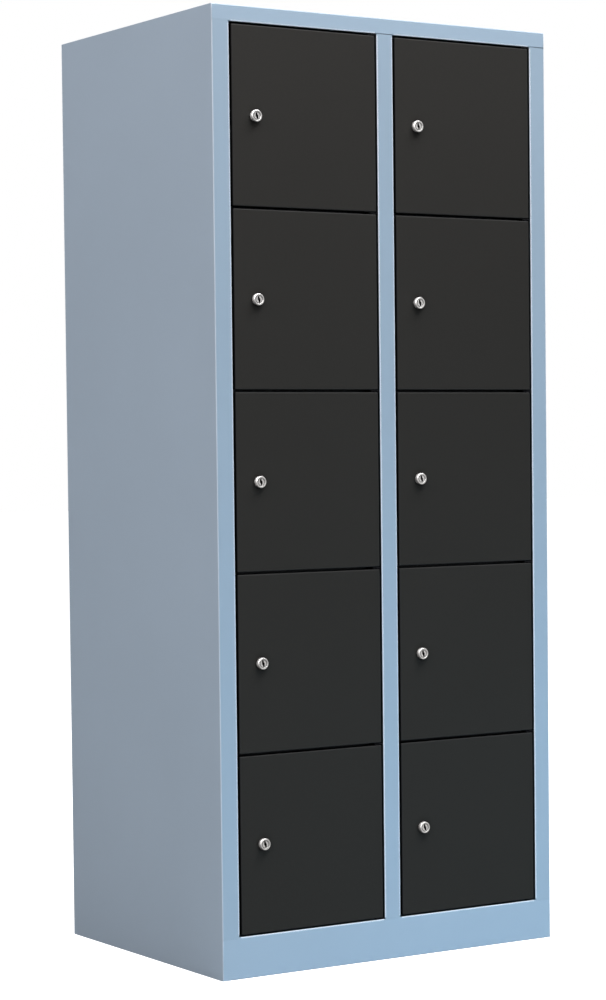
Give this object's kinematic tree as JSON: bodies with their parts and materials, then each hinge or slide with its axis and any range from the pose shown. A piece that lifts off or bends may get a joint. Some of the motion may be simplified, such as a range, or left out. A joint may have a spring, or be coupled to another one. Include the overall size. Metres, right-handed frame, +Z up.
{
  "type": "parcel locker",
  "caption": "Tall free-standing sheet-steel parcel locker with columns of near-square hinged doors over a plinth, each closed by its own key-operated cam lock.",
  "frame": {"origin": "on the floor under the middle of the carcass footprint", "axes": "+Z up, the doors face -Y, +X to the right of a person facing the doors"},
  "size_m": [0.76, 0.608, 1.8],
  "materials": {
    "frame_paint": "satin pale blue-grey powder coat",
    "door_paint": "matt charcoal powder coat",
    "chrome": "polished chrome",
    "zinc": "zinc-plated steel"
  },
  "bodies": {
    "carcass": {"side_panel_left": "frame_paint", "side_panel_right": "frame_paint", "top_panel": "frame_paint", "base_panel": "frame_paint", "plinth": "frame_paint", "back_panel": "frame_paint", "mullion": "frame_paint", "centre_partition": "frame_paint", "shelf_left_1": "frame_paint", "shelf_left_2": "frame_paint", "shelf_left_3": "frame_paint", "shelf_left_4": "frame_paint", "shelf_right_1": "frame_paint", "shelf_right_2": "frame_paint", "shelf_right_3": "frame_paint", "shelf_right_4": "frame_paint", "hinge_strip_left": "door_paint", "hinge_strip_right": "door_paint", "hinge_rod_left": "door_paint", "hinge_rod_right": "door_paint"},
    "door_left_1": {"door_left_1": "door_paint", "lock_body_left_1": "chrome"},
    "lock_core_left_1": {"lock_plug_left_1": "chrome", "lock_cam_left_1": "zinc"},
    "door_left_2": {"door_left_2": "door_paint", "lock_body_left_2": "chrome"},
    "lock_core_left_2": {"lock_plug_left_2": "chrome", "lock_cam_left_2": "zinc"},
    "door_left_3": {"door_left_3": "door_paint", "lock_body_left_3": "chrome"},
    "lock_core_left_3": {"lock_plug_left_3": "chrome", "lock_cam_left_3": "zinc"},
    "door_left_4": {"door_left_4": "door_paint", "lock_body_left_4": "chrome"},
    "lock_core_left_4": {"lock_plug_left_4": "chrome", "lock_cam_left_4": "zinc"},
    "door_left_5": {"door_left_5": "door_paint", "lock_body_left_5": "chrome"},
    "lock_core_left_5": {"lock_plug_left_5": "chrome", "lock_cam_left_5": "zinc"},
    "door_right_1": {"door_right_1": "door_paint", "lock_body_right_1": "chrome"},
    "lock_core_right_1": {"lock_plug_right_1": "chrome", "lock_cam_right_1": "zinc"},
    "door_right_2": {"door_right_2": "door_paint", "lock_body_right_2": "chrome"},
    "lock_core_right_2": {"lock_plug_right_2": "chrome", "lock_cam_right_2": "zinc"},
    "door_right_3": {"door_right_3": "door_paint", "lock_body_right_3": "chrome"},
    "lock_core_right_3": {"lock_plug_right_3": "chrome", "lock_cam_right_3": "zinc"},
    "door_right_4": {"door_right_4": "door_paint", "lock_body_right_4": "chrome"},
    "lock_core_right_4": {"lock_plug_right_4": "chrome", "lock_cam_right_4": "zinc"},
    "door_right_5": {"door_right_5": "door_paint", "lock_body_right_5": "chrome"},
    "lock_core_right_5": {"lock_plug_right_5": "chrome", "lock_cam_right_5": "zinc"}
  },
  "joints": [
    {"name": "door_left_1_hinge", "type": "hinge", "parent": "carcass", "child": "door_left_1", "pos_m": [-0.02825, -0.294, 1.59937], "axis": [0, 0, 1], "range_deg": [0, 110]},
    {"name": "lock_left_1_turn", "type": "hinge", "parent": "door_left_1", "child": "lock_core_left_1", "pos_m": [-0.2895, -0.3, 1.59937], "axis": [0, 1, 0], "range_deg": [0, 90]},
    {"name": "door_left_2_hinge", "type": "hinge", "parent": "carcass", "child": "door_left_2", "pos_m": [-0.02825, -0.294, 1.26162], "axis": [0, 0, 1], "range_deg": [0, 110]},
    {"name": "lock_left_2_turn", "type": "hinge", "parent": "door_left_2", "child": "lock_core_left_2", "pos_m": [-0.2895, -0.3, 1.26162], "axis": [0, 1, 0], "range_deg": [0, 90]},
    {"name": "door_left_3_hinge", "type": "hinge", "parent": "carcass", "child": "door_left_3", "pos_m": [-0.02825, -0.294, 0.92388], "axis": [0, 0, 1], "range_deg": [0, 110]},
    {"name": "lock_left_3_turn", "type": "hinge", "parent": "door_left_3", "child": "lock_core_left_3", "pos_m": [-0.2895, -0.3, 0.92388], "axis": [0, 1, 0], "range_deg": [0, 90]},
    {"name": "door_left_4_hinge", "type": "hinge", "parent": "carcass", "child": "door_left_4", "pos_m": [-0.02825, -0.294, 0.58613], "axis": [0, 0, 1], "range_deg": [0, 110]},
    {"name": "lock_left_4_turn", "type": "hinge", "parent": "door_left_4", "child": "lock_core_left_4", "pos_m": [-0.2895, -0.3, 0.58613], "axis": [0, 1, 0], "range_deg": [0, 90]},
    {"name": "door_left_5_hinge", "type": "hinge", "parent": "carcass", "child": "door_left_5", "pos_m": [-0.02825, -0.294, 0.24838], "axis": [0, 0, 1], "range_deg": [0, 110]},
    {"name": "lock_left_5_turn", "type": "hinge", "parent": "door_left_5", "child": "lock_core_left_5", "pos_m": [-0.2895, -0.3, 0.24838], "axis": [0, 1, 0], "range_deg": [0, 90]},
    {"name": "door_right_1_hinge", "type": "hinge", "parent": "carcass", "child": "door_right_1", "pos_m": [0.3335, -0.294, 1.59937], "axis": [0, 0, 1], "range_deg": [0, 110]},
    {"name": "lock_right_1_turn", "type": "hinge", "parent": "door_right_1", "child": "lock_core_right_1", "pos_m": [0.07225, -0.3, 1.59937], "axis": [0, 1, 0], "range_deg": [0, 90]},
    {"name": "door_right_2_hinge", "type": "hinge", "parent": "carcass", "child": "door_right_2", "pos_m": [0.3335, -0.294, 1.26162], "axis": [0, 0, 1], "range_deg": [0, 110]},
    {"name": "lock_right_2_turn", "type": "hinge", "parent": "door_right_2", "child": "lock_core_right_2", "pos_m": [0.07225, -0.3, 1.26162], "axis": [0, 1, 0], "range_deg": [0, 90]},
    {"name": "door_right_3_hinge", "type": "hinge", "parent": "carcass", "child": "door_right_3", "pos_m": [0.3335, -0.294, 0.92388], "axis": [0, 0, 1], "range_deg": [0, 110]},
    {"name": "lock_right_3_turn", "type": "hinge", "parent": "door_right_3", "child": "lock_core_right_3", "pos_m": [0.07225, -0.3, 0.92388], "axis": [0, 1, 0], "range_deg": [0, 90]},
    {"name": "door_right_4_hinge", "type": "hinge", "parent": "carcass", "child": "door_right_4", "pos_m": [0.3335, -0.294, 0.58613], "axis": [0, 0, 1], "range_deg": [0, 110]},
    {"name": "lock_right_4_turn", "type": "hinge", "parent": "door_right_4", "child": "lock_core_right_4", "pos_m": [0.07225, -0.3, 0.58613], "axis": [0, 1, 0], "range_deg": [0, 90]},
    {"name": "door_right_5_hinge", "type": "hinge", "parent": "carcass", "child": "door_right_5", "pos_m": [0.3335, -0.294, 0.24838], "axis": [0, 0, 1], "range_deg": [0, 110]},
    {"name": "lock_right_5_turn", "type": "hinge", "parent": "door_right_5", "child": "lock_core_right_5", "pos_m": [0.07225, -0.3, 0.24838], "axis": [0, 1, 0], "range_deg": [0, 90]}
  ]
}
